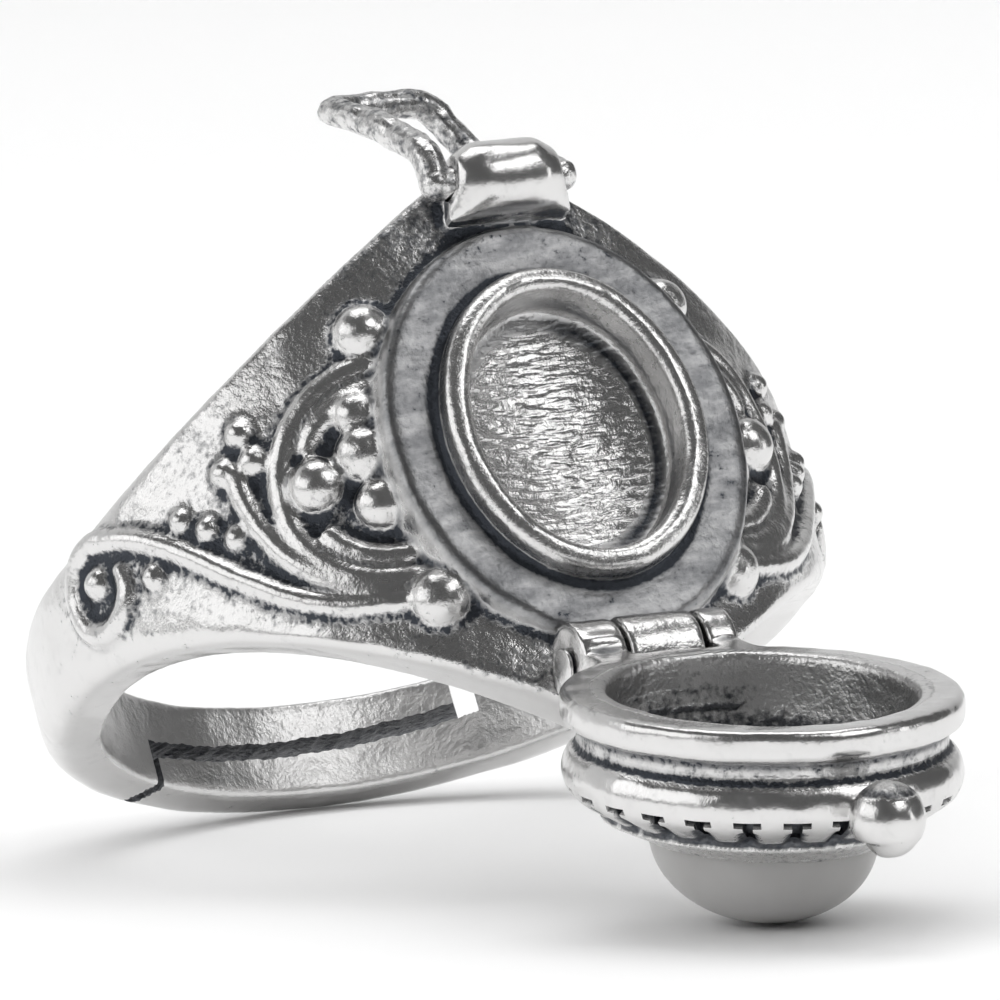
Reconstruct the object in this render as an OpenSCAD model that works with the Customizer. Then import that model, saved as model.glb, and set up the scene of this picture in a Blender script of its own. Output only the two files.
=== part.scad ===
// Poison ring: an adjustable cast band with a broad front plate, a cup behind
// a hinged lid that carries an oval cabochon, and a wire bail that drops over
// the lid's catch ball. All sizes are in millimetres.

/* [Band] */
// Diameter of the finger hole
finger_d = 18; // [17:0.5:21]
// Thickness of the band
band_t = 1.55; // [1.4:0.05:1.9]
// Width of the band at the palm
palm_w = 2.7; // [2.3:0.1:3.4]
// Width of the band at its sides, where the front plate begins
side_w = 3.5; // [3.4:0.1:4.2]
// Height of the front plate along the finger, tip to tip
plate_h = 16; // [15.8:0.1:17]
// Roundness of the plate's two tips
tip_r = 0.8; // [0.4:0.1:1.2]
// Rounding of the plate's edges
plate_edge = 0.35; // [0.2:0.05:0.5]
// Rounding of the cast edges on the platform and the lid
cast_round = 0.16; // [0.1:0.02:0.2]
// Rounding of the band's edges at the sides
side_edge = 1.25; // [0.8:0.05:1.4]
// Rounding of the band's edges at the palm
palm_edge = 0.55; // [0.4:0.05:0.9]

/* [Adjustable split] */
// Width of the slit between the two tongues
slit_w = 0.46; // [0.3:0.02:0.6]
// Open length beyond the end of each tongue
split_gap = 0.72; // [0.4:0.02:1.2]
// Angle from the front at which the right arm steps down to its tongue
right_step = 150; // [140:1:158]
// Angle from the front at which the left arm steps down to its tongue
left_step = 143; // [135:1:158]

/* [Platform and cup] */
// How far the platform, hinge and hood sit to the right of the band's middle
front_shift = 0.3; // [0:0.05:0.3]
// Half length of the oval platform, along the finger
platform_a = 5.9; // [5.6:0.1:6.1]
// Half width of the oval platform
platform_b = 4.95; // [4.6:0.05:5.2]
// Height of the platform's face above the finger hole
platform_up = 1.95; // [1.8:0.05:2.4]
// How far the platform's face drops towards its two sides
face_bow = 0.2; // [0:0.05:0.4]
// Depth to which the platform's face is dished round the collar
face_dish = 0.12; // [0.05:0.01:0.2]
// Half length of the collar
collar_a = 4.35; // [4.1:0.05:4.4]
// Half width of the collar
collar_b = 3.55; // [3.3:0.05:3.65]
// Wall of the collar
collar_wall = 0.7; // [0.5:0.02:0.8]
// Height of the collar above the platform
collar_h = 0.75; // [0.5:0.05:1]
// Depth of the cup below the collar's crest
cup_depth = 1.6; // [1.2:0.05:1.8]

/* [Ornament] */
// Diameter of the wire that the scrolls are made of
scroll_wire_d = 0.58; // [0.4:0.02:0.7]
// Radius of the outer crescent beside the platform
crescent_r = 2.95; // [2.6:0.05:3.2]
// Distance between the two wires of the crescent
crescent_step = 0.62; // [0.5:0.02:0.8]
// Diameter of the largest granules
granule_d = 1.6; // [1.2:0.05:1.8]

/* [Hinge] */
// Diameter of the hinge knuckles
knuckle_d = 2.3; // [2:0.05:2.4]
// Length of the whole barrel
barrel_l = 4.4; // [4.2:0.1:5]
// Length of the middle knuckle
middle_l = 2.1; // [1.8:0.1:2.3]
// How far the middle knuckle sits to the right
middle_shift = 0.2; // [0:0.05:0.3]
// Diameter of the hinge pin
pin_d = 0.7; // [0.5:0.05:0.9]
// Diameter of the pin's peened heads
pin_head_d = 1; // [0.95:0.05:1.3]
// Thickness of the pin's peened heads
pin_head_t = 0.1; // [0.06:0.02:0.2]
// Height of the hinge axis above the platform's face
axis_up = 0.6; // [0.55:0.05:0.8]
// Distance from the end of the platform to the hinge axis
hinge_out = 0.94; // [0.9:0.01:1.1]
// Play of the lid's knuckles in the trough that is cut for them
trough_play = 0.1; // [0.06:0.02:0.16]
// Gap between one knuckle and the next
knuckle_gap = 0.08; // [0.06:0.02:0.15]
// Clearance all round the pin and the bail's axle in their bores
running_gap = 0.05; // [0.03:0.01:0.09]
// Angle at which the opened lid rests, measured from closed
lid_open = 125; // [115:1:130]

/* [Lid] */
// Half length of the lid's rim
lid_a = 5.55; // [5.4:0.05:5.6]
// Half width of the lid's rim
lid_b = 5; // [4.8:0.05:5.1]
// Play between the collar and the inside of the lid's rim
lid_play = 0.18; // [0.12:0.02:0.3]
// Thickness of the rim's flange
rim_h = 0.88; // [0.7:0.02:1]
// How deep the groove between the rim and the bead is
groove_depth = 0.42; // [0.3:0.02:0.55]
// Height of the groove
groove_h = 0.62; // [0.4:0.02:0.9]
// Height of the bead below the groove
bead_h = 1.5; // [1.2:0.05:1.8]
// Height of the sloping collet that holds the stone
collet_h = 0.75; // [0.6:0.05:0.9]
// Thickness of metal between the hollow and the stone
web_t = 0.7; // [0.5:0.05:1]
// Gap that the closed lid keeps above the platform
seat_gap = 0.06; // [0.04:0.01:0.1]
// Diameter of the catch ball
catch_d = 1.95; // [1.7:0.05:2]
// How far the catch ball's centre stands out from the rim's end
catch_out = 0.95; // [0.8:0.01:1]
// Height of the catch ball's centre above the rim's underside
catch_up = 2.15; // [1.9:0.05:2.4]
// How far the catch ball sits to the right of the lid's middle
catch_side = 0.3; // [0:0.05:0.3]

/* [Stone] */
// Half length of the cabochon
stone_a = 3.45; // [3.2:0.05:3.5]
// Half width of the cabochon
stone_b = 2.75; // [2.5:0.05:2.8]
// Height of the dome above the collet's edge
dome_h = 2.2; // [1.8:0.05:2.5]
// Depth of the stone's seat
seat_depth = 0.5; // [0.3:0.05:0.6]
// Gap round the stone in its seat
stone_gap = 0.04; // [0.03:0.01:0.08]

/* [Bail and its hood] */
// Diameter of the bail's wire
bail_wire_d = 0.8; // [0.7:0.02:0.84]
// Half of the distance between the bail's legs
bail_half = 1.9; // [1.86:0.02:2.1]
// Reach of the bail along the finger at rest
bail_rise = 3.95; // [3.7:0.05:4.2]
// Reach of the bail behind the plate at rest
bail_back = 3.4; // [3.2:0.05:3.6]
// How far the bail's crossbar has been bent to the left
bail_lean = 0.8; // [0:0.05:0.9]
// Diameter of the balls at the ends of the bail's axle
bail_ball_d = 0.98; // [0.9:0.02:1.04]
// Diameter of the hood over the axle
hood_d = 2.1; // [2:0.05:2.2]
// Length of the hood
hood_l = 2.82; // [2.7:0.02:2.84]
// How much longer the hood is at its foot than at its crown
hood_flare = 1.3; // [0.8:0.1:1.4]
// Height of the bail's axle above the band's outer face
axle_up = 0.5; // [0.46:0.02:0.6]
// Gap between the hood and the end of the platform
hood_gap = 0.15; // [0.1:0.05:0.4]

/* [Hidden] */
silver = "silver";
$fn = 48;

bore_r = finger_d / 2;
band_r = bore_r + band_t;
platform_r = bore_r + platform_up;
tip_slope = (plate_h - side_w) / 2 / (sqrt(band_r * band_r + tip_r * tip_r) - tip_r);

hinge_r = platform_r + axis_up;
hinge_z = platform_a + hinge_out;
middle_from = middle_shift - middle_l / 2;
middle_to = middle_shift + middle_l / 2;
pin_bore_r = pin_d / 2 + running_gap;

axle_r = band_r + axle_up;
axle_z = platform_a + hood_gap + hood_d / 2;

// Turn of the ornament's middle to the right
ornament_turn = 0.8;
// Centre of the left flank's crescents, as an angle from the middle and a height
crescent_turn = -24.9;
crescent_z = -0.15;

// Heights in the lid, measured from its rim towards the stone
groove_top = rim_h + groove_h;
bead_top = groove_top + bead_h;
collet_top = bead_top + collet_h;
seat_floor = collet_top - seat_depth;
hollow_h = seat_floor - web_t;

// The ring lies on the lower edge of its palm and on the dome of the stone.
// The lean is the angle between its finger axis and the vertical.
edge_y = band_r - palm_edge;
edge_z = -(palm_w / 2 - palm_edge);
dome_base = platform_r + seat_gap + collet_top;
dome_y = -hinge_r + swung(hinge_r - dome_base, hinge_z)[0];
dome_z = -hinge_z + swung(hinge_r - dome_base, hinge_z)[1];
span = norm([dome_y - edge_y, dome_z - edge_z]);
span_angle = atan2(dome_z - edge_z, dome_y - edge_y);
first_guess = 28;
lean = settled(first_guess, 4);

// Where a point beside the hinge goes when the lid opens
function swung(y, z, turn = lid_open) =
    [y * cos(turn) - z * sin(turn), y * sin(turn) + z * cos(turn)];

// Reach of the opened dome towards the floor at a given lean
function dome_reach(angle) =
    let (tilt = lid_open - 90 - angle)
    norm([dome_h * cos(tilt), stone_a * sin(tilt)]);

// The lean at which the dome and the band's edge meet one floor
function settled(angle, turns) = turns == 0 ? angle :
    settled(span_angle + 180 - asin((palm_edge - dome_reach(angle)) / span), turns - 1);

function ease(value, low, high) =
    let (share = min(1, max(0, (value - low) / (high - low))))
    share * share * (3 - 2 * share);
function mix(low, high, share) = low + (high - low) * share;

// Half of the band's width at an angle from the front
function half_width(angle) =
    let (turn = abs(angle), side = band_r * sin(min(turn, 90)))
    turn <= 90
        ? plate_h / 2 - tip_slope * (sqrt(side * side + tip_r * tip_r) - tip_r)
        : mix(side_w, palm_w, ease(turn, 90, 130)) / 2;

// Rounding of the band's edges along the finger, at an angle from the front
function edge_width(angle) = abs(angle) < 90
    ? mix(plate_edge, side_edge, ease(abs(angle), 42, 88))
    : mix(side_edge, palm_edge, ease(abs(angle), 92, 130));
function edge_drop(angle) = mix(plate_edge, palm_edge, ease(abs(angle), 42, 100));

// One point at an angle round the finger, at a distance from its axis
function around(angle, radius, z) = [radius * sin(angle), -radius * cos(angle), z];

// Faces that join equal rings of points, with the two ends closed or joined
function ring_faces(rings, sides, closed = false) = concat(
    [for (i = [0:rings - (closed ? 1 : 2)], j = [0:sides - 1])
        let (a = i * sides, b = ((i + 1) % rings) * sides, k = (j + 1) % sides)
        each [[a + j, a + k, b + k], [a + j, b + k, b + j]]],
    closed ? [] : [[for (j = [sides - 1:-1:0]) j], [for (j = [0:sides - 1]) (rings - 1) * sides + j]]
);

// The same faces with their other side outwards
function flipped(faces) = [for (face = faces) [for (i = [len(face) - 1:-1:0]) face[i]]];

// An oval inside the one with the given half length and half width, at a height
function level(halves, inset, height) = [halves[0] - inset, halves[1] - inset, height];

// The same oval, dropping towards its sides like the platform's face
function bowed(halves, inset, height) = [each level(halves, inset, height), face_bow];

// A solid through ovals, each row holding half length, half width, height and
// how far the oval drops towards its sides, which is nothing if left out
module oval_loft(levels, sides = 48) {
    points = [for (row = levels, j = [0:sides - 1])
        let (turn = 360 * j / sides, drop = row[3] == undef ? 0 : row[3])
        [row[1] * cos(turn), row[0] * sin(turn), row[2] - drop * pow(cos(turn), 2)]];
    polyhedron(points, flipped(ring_faces(len(levels), sides)));
}

// Stands an oval loft on the front of the ring, its height pointing outwards
module on_front(radius) translate([0, -radius, 0]) rotate([90, 0, 0]) children();

// A round wire through the given points, with closed ends
module wire(path, d, sides = 6) {
    last = len(path) - 1;
    headings = [for (i = [0:last])
        let (step = path[min(i + 1, last)] - path[max(i - 1, 0)]) step / norm(step)];
    first_side = cross(headings[0], [headings[0][1], -headings[0][2], headings[0][0]]);
    frames = [for (i = 0, side = first_side / norm(first_side); i <= last;
        i = i + 1, side = i > last ? side : turned(side, headings[i])) side];
    points = [for (i = [0:last], j = [0:sides - 1])
        let (up = cross(headings[i], frames[i]), turn = 360 * j / sides)
        path[i] + d / 2 * (cos(turn) * frames[i] + sin(turn) * up)];
    polyhedron(points, flipped(ring_faces(last + 1, sides)));
}
function turned(side, heading) =
    let (flat = side - (side * heading) * heading) flat / norm(flat);

// A smooth path through a few points
function smooth(points, steps = 4) =
    let (last = len(points) - 1)
    concat([for (i = [0:last - 1], s = [0:steps - 1])
        let (a = points[max(i - 1, 0)], b = points[i], c = points[i + 1],
            d = points[min(i + 2, last)], t = s / steps)
        0.5 * (2 * b + (c - a) * t + (2 * a - 5 * b + 4 * c - d) * t * t
            + (3 * b - a - 3 * c + d) * t * t * t)], [points[last]]);

// A ring sector round the finger between two angles from the front
module sector(from, to, low, high) {
    rotate([0, 0, from - 90]) rotate_extrude(angle = to - from, $fn = 96)
        translate([bore_r - 1, low]) square([band_t + 2, high - low]);
}

module band() {
    count = 108;
    corner = 4;
    sections = [for (i = [0:count - 1])
        let (angle = -180 + 360 * i / count, half = half_width(angle),
            wide = min(edge_width(angle), half * 0.95), drop = edge_drop(angle))
        each concat(
            [around(angle, bore_r - 0.5, -half)],
            [for (k = [0:corner]) let (turn = 90 * k / corner)
                around(angle, band_r - drop * (1 - sin(turn)), wide * (1 - cos(turn)) - half)],
            [for (k = [corner:-1:0]) let (turn = 90 * k / corner)
                around(angle, band_r - drop * (1 - sin(turn)), half - wide * (1 - cos(turn)))],
            [around(angle, bore_r - 0.5, half)])];
    polyhedron(sections, ring_faces(count, 2 * corner + 4, true));
}

// The cuts that leave two tongues side by side at the palm
module split() {
    gap_turn = split_gap / bore_r * 180 / PI;
    sector(right_step, 360 - left_step, -slit_w / 2, slit_w / 2);
    sector(right_step, right_step + gap_turn, -slit_w / 2, palm_w);
    sector(360 - left_step - gap_turn, 360 - left_step, -palm_w, slit_w / 2);
}

module platform() {
    face = [platform_a, platform_b];
    collar = [collar_a, collar_b];
    on_front(platform_r) oval_loft([
        level(face, -cast_round / 2, -platform_up * 0.8),
        bowed(face, 0, -cast_round),
        bowed(face, cast_round * 0.3, -cast_round * 0.3),
        bowed(face, cast_round, 0),
        level(collar, -cast_round, -face_dish / 2),
        level(collar, 0, -face_dish),
        level(collar, 0, collar_h * 0.6),
        level(collar, collar_wall * 0.15, collar_h * 0.88),
        level(collar, collar_wall * 0.43, collar_h)
    ]);
}

module cup() {
    inner = [collar_a - collar_wall, collar_b - collar_wall];
    on_front(platform_r + collar_h) oval_loft([
        level(inner, collar_wall * 0.2, -cup_depth),
        level(inner, 0, -collar_wall * 0.5),
        level(inner, -collar_wall * 0.15, -collar_wall * 0.18),
        level(inner, -collar_wall * 0.43, 0),
        level(inner, -collar_wall * 0.9, collar_wall * 0.4)
    ]);
}

// A granule on the band, its centre at an angle from the front
module granule(angle, z, d)
    translate(around(angle, band_r + d * 0.12, z)) rotate([37, 22, 0]) sphere(d = d, $fn = 16);

// A wire laid on the band through pairs of angle from the front and height
module laid_wire(pairs, d = scroll_wire_d, steps = 3)
    wire(smooth([for (pair = pairs) around(pair[0], band_r + d * 0.05, pair[1])], steps), d);

// Pairs for a laid wire along an arc round the crescent's centre
function crescent(radius, from, to, count) = [for (i = [0:count])
    let (turn = from + (to - from) * i / count)
    [crescent_turn - radius * cos(turn) / band_r * 180 / PI, radius * sin(turn) + crescent_z]];

// The ornament of the left flank: scrolled wire and granules
module ornament() {
    inner_r = crescent_r - crescent_step;
    laid_wire(crescent(crescent_r, 100, -95, 7));
    laid_wire(crescent(inner_r, 105, 28, 3));
    laid_wire(crescent(inner_r, -28, -95, 3));
    // Lower leaf and long scroll, as pairs of angle and height
    laid_wire([[-46.6, 1.2], [-46.2, 0.3], [-43.8, -1], [-38.8, -2.25], [-32.2, -3.05], [-26.2, -3.45]]);
    laid_wire([[-25.2, -3.75], [-30.2, -3.6], [-36.2, -3.3], [-43.2, -2.6], [-49.7, -1.6], [-56.2, -0.45],
        [-62.2, 0.45], [-68.7, 1.1], [-74.7, 1.4], [-79.5, 0.8], [-80, -0.15], [-76.5, -0.95],
        [-71.8, -0.9], [-68.8, -0.25], [-69.4, 0.45]]);
    // Granules, each with its angle, its height and its share of the largest one
    for (row = [
        [-23, -3.87, 1], [-23.9, 3.76, 0.92],
        [-35.5, 0.04, 0.95], [-28.1, 0.48, 0.95], [-27.5, -0.98, 0.9], [-27.7, 1.6, 0.8],
        [-44.5, 2.15, 0.5], [-43.4, 1.3, 0.5], [-48.1, 1.3, 0.5],
        [-56.7, 0.62, 0.42], [-52.8, 0.07, 0.44], [-48.8, -0.5, 0.46],
        [-74.1, 0.3, 0.58], [-63.4, -0.4, 0.46]
    ]) granule(row[0], row[1], granule_d * row[2]);
}

// Hood over the bail's axle, on the plate's upper tip, arched along its length
module hood() {
    crown_l = hood_l - hood_flare / 2;
    foot_l = hood_l + hood_flare / 2;
    foot_t = hood_d * 0.1;
    translate([0, -axle_r, axle_z]) hull() {
        rotate([0, 90, 0]) cylinder(d = hood_d, h = crown_l, center = true, $fn = 32);
        rotate([0, 90, 0]) cylinder(d = hood_d * 0.7, h = hood_l, center = true, $fn = 32);
        translate([-foot_l / 2, foot_t / 2, -hood_d / 2]) cube([foot_l, axle_up, foot_t]);
    }
    translate([-crown_l / 2, -axle_r, axle_z - hood_d * 0.4]) cube([crown_l, axle_r - bore_r, hood_d * 0.7]);
}

// The axle's bore, opened at both ends for the balls
module hood_cut() {
    recess = bail_ball_d / 4;
    translate([0, -axle_r, axle_z]) rotate([0, 90, 0]) {
        cylinder(r = bail_wire_d / 2 + running_gap, h = 2 * hood_l, center = true);
        for (end = [-1, 1]) translate([0, 0, end * hood_l / 2])
            cylinder(d = hood_d * 0.76, h = 2 * recess, center = true);
    }
}

// A round rod on the hinge axis between two distances from the middle
module hinge_rod(from, to, d)
    translate([from, -hinge_r, -hinge_z]) rotate([0, 90, 0]) cylinder(d = d, h = to - from);

module middle_knuckle() {
    hinge_rod(middle_from, middle_to, knuckle_d);
    translate([middle_from, -hinge_r + pin_bore_r, -hinge_z])
        cube([middle_l, hinge_r - bore_r - 2 * pin_bore_r, knuckle_d * 0.5]);
}

// The trough beside the middle knuckle in which the lid's knuckles turn
module trough() {
    beyond = barrel_l / 2 + pin_head_t + 2 * trough_play;
    trough_d = knuckle_d + 2 * trough_play;
    hinge_rod(-beyond, middle_from, trough_d);
    hinge_rod(middle_to, beyond, trough_d);
}

module ring_body() color(silver) leaned() difference() {
    union() {
        band();
        shifted() {
            platform();
            hood();
            middle_knuckle();
        }
        rotate([0, 0, ornament_turn]) {
            ornament();
            mirror([1, 0, 0]) ornament();
        }
    }
    cylinder(r = bore_r, h = 2 * plate_h, center = true, $fn = 96);
    split();
    shifted() {
        cup();
        hood_cut();
        trough();
        hinge_rod(-barrel_l, barrel_l, 2 * pin_bore_r);
    }
}

// Turns what is drawn as part of the closed lid to where the open lid rests
module opened() translate([0, -hinge_r, -hinge_z]) rotate([lid_open, 0, 0])
    translate([0, hinge_r, hinge_z]) children();

// Lays the ring down on its palm edge and its stone
module leaned() rotate([-lean, 0, 0]) children();

// Moves what sits on the front off the band's middle
module shifted() translate([front_shift, 0, 0]) children();

module lid_shell() {
    rim = [lid_a, lid_b];
    neck = [lid_a - groove_depth, lid_b - groove_depth];
    setting = [stone_a, stone_b];
    on_front(platform_r + seat_gap) oval_loft([
        level(rim, cast_round, 0),
        level(rim, cast_round * 0.25, cast_round * 0.6),
        level(rim, 0, rim_h * 0.5),
        level(rim, cast_round * 0.4, rim_h * 0.85),
        level(rim, cast_round, rim_h),
        level(neck, 0, rim_h + cast_round * 0.4),
        level(neck, cast_round * 0.4, groove_top - cast_round * 0.2),
        level(rim, bead_h * 0.17, groove_top),
        level(rim, bead_h * 0.07, groove_top + bead_h * 0.16),
        level(rim, bead_h * 0.03, groove_top + bead_h * 0.42),
        level(rim, bead_h * 0.15, groove_top + bead_h * 0.74),
        level(rim, bead_h * 0.49, bead_top),
        level(rim, bead_h * 0.65, bead_top + collet_h * 0.3),
        level(setting, -collet_h * 0.5, collet_top - cast_round * 0.6),
        level(setting, -collet_h * 0.32, collet_top)
    ]);
}

// The hollow that closes over the collar
module lid_hollow() {
    mouth = [collar_a + lid_play, collar_b + lid_play];
    on_front(platform_r + seat_gap) oval_loft([
        level(mouth, -lid_play, -lid_play),
        level(mouth, 0, cast_round * 0.5),
        level(mouth, 0, collar_h + lid_play),
        level(mouth, web_t * 0.4, hollow_h - web_t * 0.4),
        level(mouth, web_t, hollow_h)
    ]);
}

// The seat that holds the stone
module stone_seat() {
    seat = [stone_a + stone_gap, stone_b + stone_gap];
    on_front(platform_r + seat_gap)
        oval_loft([level(seat, 0, seat_floor), level(seat, 0, collet_top + stone_gap)]);
}

// A knuckle of the lid, with the leaf that joins it to the rim
module lid_knuckle(from, to) {
    leaf_t = rim_h + cast_round;
    leaf_end = lid_a * sqrt(1 - pow((from + to) / 2 / lid_b, 2)) - knuckle_d / 6;
    hinge_rod(from, to, knuckle_d);
    translate([from, -platform_r - seat_gap - leaf_t, -hinge_z])
        cube([to - from, leaf_t, hinge_z - leaf_end]);
}

module lid() color(silver) leaned() shifted() opened() difference() {
    union() {
        lid_shell();
        lid_knuckle(-barrel_l / 2, middle_from - knuckle_gap);
        lid_knuckle(middle_to + knuckle_gap, barrel_l / 2);
        translate([catch_side, -platform_r - seat_gap - catch_up, lid_a + catch_out])
            sphere(d = catch_d, $fn = 40);
    }
    lid_hollow();
    stone_seat();
    hinge_rod(-barrel_l, barrel_l, 2 * pin_bore_r);
}

// Oval cabochon
module stone() color("gainsboro") leaned() shifted() opened() on_front(platform_r + seat_gap) {
    rows = 9;
    steepest = 86;
    oval_loft(concat(
        [[stone_a, stone_b, seat_floor + stone_gap]],
        [for (i = [0:rows - 1]) let (turn = steepest * i / (rows - 1))
            [stone_a * cos(turn), stone_b * cos(turn), collet_top + dome_h * sin(turn)]]), 40);
}

module hinge_pin() color(silver) leaned() shifted() {
    reach = barrel_l / 2 + running_gap;
    hinge_rod(-reach - pin_head_t / 2, reach + pin_head_t / 2, pin_d);
    hinge_rod(-reach - pin_head_t, -reach, pin_head_d);
    hinge_rod(reach, reach + pin_head_t, pin_head_d);
}

// Wire bail, bent back over the band and pushed to the left, its right leg bent lower
module bail() color(silver) leaned() translate([front_shift, -axle_r, axle_z]) {
    corner = bail_wire_d * 1.1;
    // Points of each leg, as shares of the corner, the lean, the reach behind and the reach up
    left_leg = [[0, 0, 0, 0], [0, 0, 0.03, 0.21], [0, 0.1, 0.22, 0.43],
        [0, 0.35, 0.56, 0.72], [0.1, 0.85, 0.92, 0.97], [1, 1, 1, 1]];
    right_leg = [[0, 0, 0, 0], [0, 0, 0.22, 0.14], [0, 0.15, 0.6, 0.32],
        [0.1, 0.7, 0.92, 0.54], [0.3, 0.95, 1.04, 0.8], [1, 1, 1, 1]];
    left = [for (row = left_leg) leg_point(row, -1, corner)];
    right = [for (row = right_leg) leg_point(row, 1, corner)];
    wire(smooth(concat(left, [for (i = [len(right) - 1:-1:0]) right[i]]), 3), bail_wire_d, 8);
    rotate([0, 90, 0]) cylinder(d = bail_wire_d, h = 2 * bail_half, center = true);
    for (side = [-1, 1]) translate([side * bail_half, 0, 0]) sphere(d = bail_ball_d, $fn = 32);
}
function leg_point(row, side, corner) =
    [side * (bail_half - row[0] * corner) - row[1] * bail_lean, row[2] * bail_back, row[3] * bail_rise];

ring_body();
lid();
stone();
hinge_pin();
bail();
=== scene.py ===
import math
import bpy
import numpy as np
from mathutils import Matrix, Vector


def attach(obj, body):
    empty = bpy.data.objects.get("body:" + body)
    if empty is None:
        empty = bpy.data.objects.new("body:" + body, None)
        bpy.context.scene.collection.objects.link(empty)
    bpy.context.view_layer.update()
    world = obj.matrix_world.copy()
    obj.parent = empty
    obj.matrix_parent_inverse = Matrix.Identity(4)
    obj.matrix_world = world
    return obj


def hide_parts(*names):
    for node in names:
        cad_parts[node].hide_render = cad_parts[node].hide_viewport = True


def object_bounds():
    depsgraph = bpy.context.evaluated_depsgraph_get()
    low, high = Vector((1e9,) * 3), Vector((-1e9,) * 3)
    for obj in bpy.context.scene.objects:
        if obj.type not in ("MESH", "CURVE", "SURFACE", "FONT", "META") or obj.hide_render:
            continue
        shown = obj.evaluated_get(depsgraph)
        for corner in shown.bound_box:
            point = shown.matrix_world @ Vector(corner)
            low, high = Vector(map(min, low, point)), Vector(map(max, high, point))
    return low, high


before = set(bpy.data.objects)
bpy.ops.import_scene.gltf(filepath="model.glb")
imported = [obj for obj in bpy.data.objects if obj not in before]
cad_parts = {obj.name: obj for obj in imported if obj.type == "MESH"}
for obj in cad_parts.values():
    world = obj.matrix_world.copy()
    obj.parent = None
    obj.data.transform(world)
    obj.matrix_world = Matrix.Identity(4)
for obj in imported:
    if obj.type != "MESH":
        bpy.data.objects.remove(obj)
cadLow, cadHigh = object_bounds()
print("frame loaded", sorted(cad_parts))

# The ring is modelled upright in millimetres, with its finger hole along Z and its plate towards -Y,
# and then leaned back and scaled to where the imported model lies.
lean = math.radians(29.8229)
layDown = Matrix.Scale(0.001, 4) @ Matrix.Rotation(-lean, 4, "X")

ringForm = {
    "boreRadius": 9.0, "bandThickness": 1.55, "palmWidth": 2.7, "sideWidth": 3.5,
    "palmTurn": 130,  # degrees from the front where the palm's width begins
    "plateHeight": 16.0, "tipRound": 0.8, "plateEdge": 0.35, "sideEdge": 1.25, "palmEdge": 0.55,
    "innerEdge": 0.16,
    "edgeShare": 0.95,  # the most of the half width that an edge takes
    "plateTurn": 42,  # degrees from the front where the edges begin to widen
    "evenTurn": 2,  # degrees about the side where they stay even
    "dropTurn": 100,  # degrees where they are fully rounded
    "frontShift": 0.3,  # the platform sits this far to the right of the band's middle
    "steps": (240, 32),
    # The cast skin: voxel, rounds of smoothing, and each unevenness by size, depth and resting level
    "skin": {"voxel": 0.1, "rounds": 3, "uneven": [(1.8, 0.06, 0.6), (0.5, 0.008, 0.5)]},
}
bandRadius = ringForm["boreRadius"] + ringForm["bandThickness"]

platformForm = {
    "halfLength": 5.9, "halfWidth": 4.95,
    "rise": 1.95,  # above the finger hole
    "bow": 0.2,  # drop of the face towards its sides
    "dish": 0.12, "edge": 0.26, "collarHalfLength": 4.35, "collarHalfWidth": 3.55, "collarWall": 0.7,
    "collarHeight": 0.75,
    "collarRound": 0.42,  # height of the collar's rounding, as a share of its wall
    "foot": 0.8,  # how far the platform reaches into the band, as a share of its rise
    "edgeCut": 0.3, "cupDepth": 1.6, "cupRound": 0.45,
    "cupDip": 0.32,  # how much lower the middle of the cup's floor lies
    "cupDish": 0.4, "cupLift": 0.08, "cupClear": 0.4, "nub": 0.17, "nubPlace": (0.95, -9.98, 2.95),
}
platformRadius = ringForm["boreRadius"] + platformForm["rise"]

hingeForm = {
    "knuckle": 2.3, "barrel": 4.4, "middle": 2.1, "middleShift": 0.2, "gap": 0.08,
    "up": 0.6,  # axis above the platform's face
    "out": 0.94,  # axis beyond the platform's end
    "openAngle": 125,
    "square": 1.95,  # side of the lid's left knuckle
    "squareEdge": 0.17, "bore": 0.8, "edge": 0.08,
    "root": (1.9, 1.1),  # depth and height of the middle knuckle's root
    "rootUp": 0.5, "troughPlay": 0.2, "troughBeyond": 0.3,
}
hingeRadius = platformRadius + hingeForm["up"]
hingeHeight = platformForm["halfLength"] + hingeForm["out"]
atHinge = Matrix.Translation((ringForm["frontShift"], -hingeRadius, -hingeHeight))
middleStart = hingeForm["middleShift"] - hingeForm["middle"] / 2
middleEnd = hingeForm["middleShift"] + hingeForm["middle"] / 2

meshForm = {
    "rodSegments": 64, "bevelSegments": 4, "outerSegments": 192, "innerSegments": 160,
    "merge": 1e-5,  # points nearer than this become one
    "triangles": 180000,  # the most in a cast skin before it is cut
    "smoothAngle": 40,
    "relax": 0.5,  # how far a round of smoothing moves each point
    # Segments and rings of each round piece
    "balls": {"nub": (20, 12), "granule": (28, 16), "catch": (64, 40), "ball": (32, 20)},
}


# Helpers for modelling
def onlyThis(obj):
    bpy.ops.object.select_all(action="DESELECT")
    obj.select_set(True)
    bpy.context.view_layer.objects.active = obj
    return obj


def added(name):
    obj = bpy.context.active_object
    obj.name = name
    obj.data.name = name
    return onlyThis(obj)


def baked(obj, matrix):
    obj.data.transform(matrix @ obj.matrix_world)
    obj.matrix_world = Matrix.Identity(4)
    return obj


def joined(name, pieces):
    bpy.ops.object.select_all(action="DESELECT")
    for piece in pieces:
        piece.select_set(True)
    bpy.context.view_layer.objects.active = pieces[0]
    bpy.ops.object.join()
    return added(name)


def applied(obj, kind, **settings):
    onlyThis(obj)
    modifier = obj.modifiers.new(kind.lower(), kind)
    for key, value in settings.items():
        setattr(modifier, key, value)
    bpy.ops.object.modifier_apply(modifier=modifier.name)


def editAll(obj):
    onlyThis(obj)
    bpy.ops.object.mode_set(mode="EDIT")
    bpy.ops.mesh.select_all(action="SELECT")


def tidied(obj):
    editAll(obj)
    bpy.ops.mesh.remove_doubles(threshold=meshForm["merge"])
    bpy.ops.mesh.normals_make_consistent(inside=False)
    bpy.ops.object.mode_set(mode="OBJECT")
    return obj


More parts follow.
